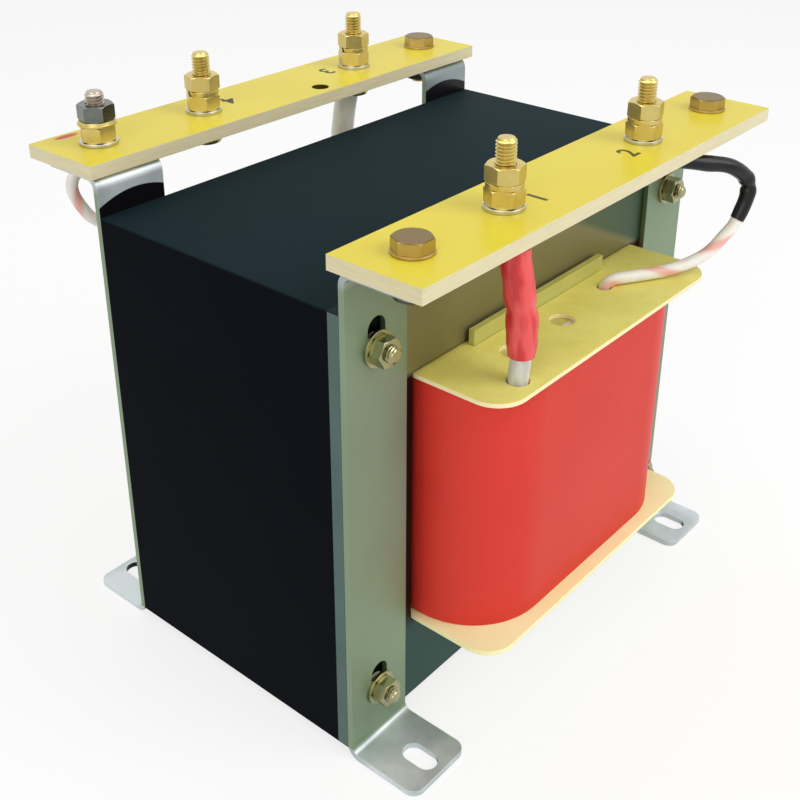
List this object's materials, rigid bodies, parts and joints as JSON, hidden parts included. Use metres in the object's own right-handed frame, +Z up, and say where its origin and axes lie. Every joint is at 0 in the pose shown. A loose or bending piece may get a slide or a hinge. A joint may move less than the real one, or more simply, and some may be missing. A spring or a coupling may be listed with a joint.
{
  "type": "laminated chassis transformer",
  "caption": "Laminated EI core transformer with a taped coil, strap brackets with slotted feet, and terminal boards carrying brass studs",
  "frame": {"origin": "centre of the mounting plane, under the middle of the core, on the underside of the feet", "axes": "+Z up from the mounting plane, +X along the core's width towards the right of the face with the front terminal board, +Y through the lamination stack towards the rear board"},
  "size_m": [0.185, 0.1749, 0.1905],
  "materials": {
    "black_lacquer": "black core lacquer with a slight blue cast, semi gloss",
    "bare_steel": "bare silicon steel edges, brushed and dull",
    "zinc_plate": "bright zinc plating on pressed strip",
    "pressboard": "cream yellow pressed insulating board",
    "copper": "enamelled winding copper",
    "layer_film": "insulating film between the windings",
    "red_tape": "red polyester tape, satin",
    "bolt_steel": "plated steel core bolts",
    "board_yellow": "yellow terminal board laminate",
    "brass": "turned brass terminal hardware",
    "plain_steel": "plated steel washers",
    "dark_steel": "dark plated steel earth hardware",
    "lug_tin": "tinned copper lugs",
    "white_sleeve": "white silicone sleeving",
    "red_shrink": "red heat-shrink sleeve",
    "black_shrink": "black heat-shrink sleeve",
    "grey_shrink": "pale grey heat-shrink sleeve",
    "nylon": "natural nylon tube"
  },
  "bodies": {
    "root": {"e_laminations": "black_lacquer", "i_laminations": "black_lacquer", "bare_e_lamination": "bare_steel", "bare_i_lamination": "bare_steel", "winding_tube": "nylon", "top_flange": "pressboard", "bottom_flange": "pressboard", "inner_winding": "copper", "winding_insulation": "layer_film", "outer_winding": "copper", "margin_collars": "layer_film", "outer_wrap": "red_tape", "front_left_strap": "zinc_plate", "front_right_strap": "zinc_plate", "rear_left_strap": "zinc_plate", "rear_right_strap": "zinc_plate", "core_bolts": "bolt_steel", "core_bolt_nuts": "bolt_steel", "core_bolt_washers": "plain_steel", "core_bolt_tubes": "nylon", "front_board": "board_yellow", "rear_board": "board_yellow", "board_bolts": "brass", "board_bolt_nuts": "brass", "board_bolt_washers": "plain_steel", "front_left_stud": "brass", "front_right_stud": "brass", "rear_left_stud": "brass", "rear_right_stud": "brass", "lower_stud_nuts": "brass", "upper_stud_nuts": "brass", "stud_spring_washers": "plain_steel", "stud_flat_washers": "plain_steel", "lug_washers": "plain_steel", "front_lugs": "lug_tin", "rear_lugs": "lug_tin", "earth_stud": "dark_steel", "earth_lower_nut": "brass", "earth_upper_nut": "dark_steel", "earth_washers": "brass", "earth_flat_washers": "plain_steel", "front_left_lead": "white_sleeve", "front_right_lead": "white_sleeve", "rear_left_lead": "white_sleeve", "rear_right_lead": "white_sleeve", "front_left_shrink": "red_shrink", "front_right_shrink": "black_shrink", "rear_left_shrink": "black_shrink", "rear_right_shrink": "grey_shrink"}
  },
  "joints": []
}
